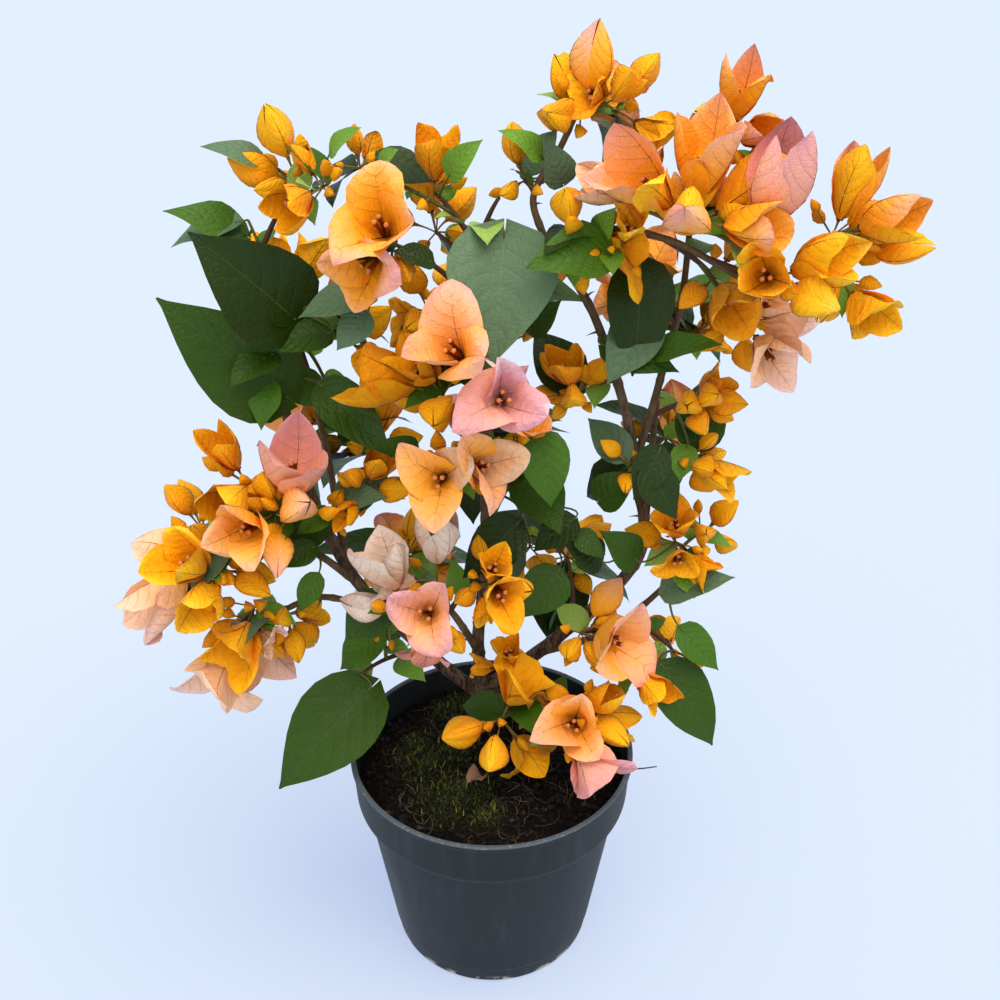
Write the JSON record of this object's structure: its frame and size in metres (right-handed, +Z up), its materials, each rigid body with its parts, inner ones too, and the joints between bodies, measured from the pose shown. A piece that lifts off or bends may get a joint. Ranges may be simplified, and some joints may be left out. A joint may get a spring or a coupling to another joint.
{
  "type": "potted bougainvillea bush",
  "caption": "Young bougainvillea bush with orange and peach papery bracts and heart-shaped leaves, growing in a round plastic nursery pot.",
  "frame": {"origin": "centre of the pot's flat underside, on the surface that it stands on", "axes": "+Z up along the pot's axis; +X to the viewer's right across the widest spread of the crown; +Y to the back of the plant, so its front faces -Y"},
  "size_m": [0.4152, 0.2076, 0.5414],
  "materials": {
    "pot": "matte",
    "soil": "matte",
    "bark": "matte",
    "leaves": "satin",
    "blossom": "satin"
  },
  "bodies": {
    "root": {"pot": "pot", "soil": "soil", "trunk": "bark", "left_stem": "bark", "centre_stem": "bark", "right_stem": "bark", "right_upper_stem": "bark", "right_high_bough": "bark", "right_arch_bough": "bark", "top_bough": "bark", "left_low_bough": "bark", "left_hanging_bough": "bark", "front_bough": "bark", "right_low_bough": "bark", "back_left_bough": "bark", "back_centre_bough": "bark", "back_right_bough": "bark", "left_crown_tip": "blossom", "left_crown_fresh": "leaves", "left_crown_bloom": "blossom", "left_high_leaves": "leaves", "left_inner_leaves": "leaves", "centre_left_gold": "blossom", "centre_leaf": "leaves", "centre_bloom": "blossom", "centre_low_bloom": "blossom", "pale_bloom": "blossom", "low_gold": "blossom", "centre_leaves": "leaves", "centre_right_gold": "blossom", "top_lantern": "blossom", "top_bloom": "blossom", "crown_tip": "blossom", "right_crown_bloom": "blossom", "right_crown_gold": "blossom", "right_tip": "blossom", "right_under": "blossom", "right_mid": "blossom", "right_leaf": "leaves", "right_knot": "leaves", "right_low": "blossom", "right_base_bloom": "blossom", "right_base_leaf": "leaves", "base_front": "blossom", "left_gold": "blossom", "left_tip": "blossom", "left_hanging": "blossom", "left_inner": "leaves", "left_base_leaf": "leaves", "back_left_high": "blossom", "back_left_mid": "blossom", "back_centre_high": "blossom", "back_centre_mid": "leaves", "back_right_high": "blossom", "back_right_mid": "blossom", "back_low_left": "blossom", "back_low_right": "blossom", "back_top": "leaves"}
  },
  "joints": []
}
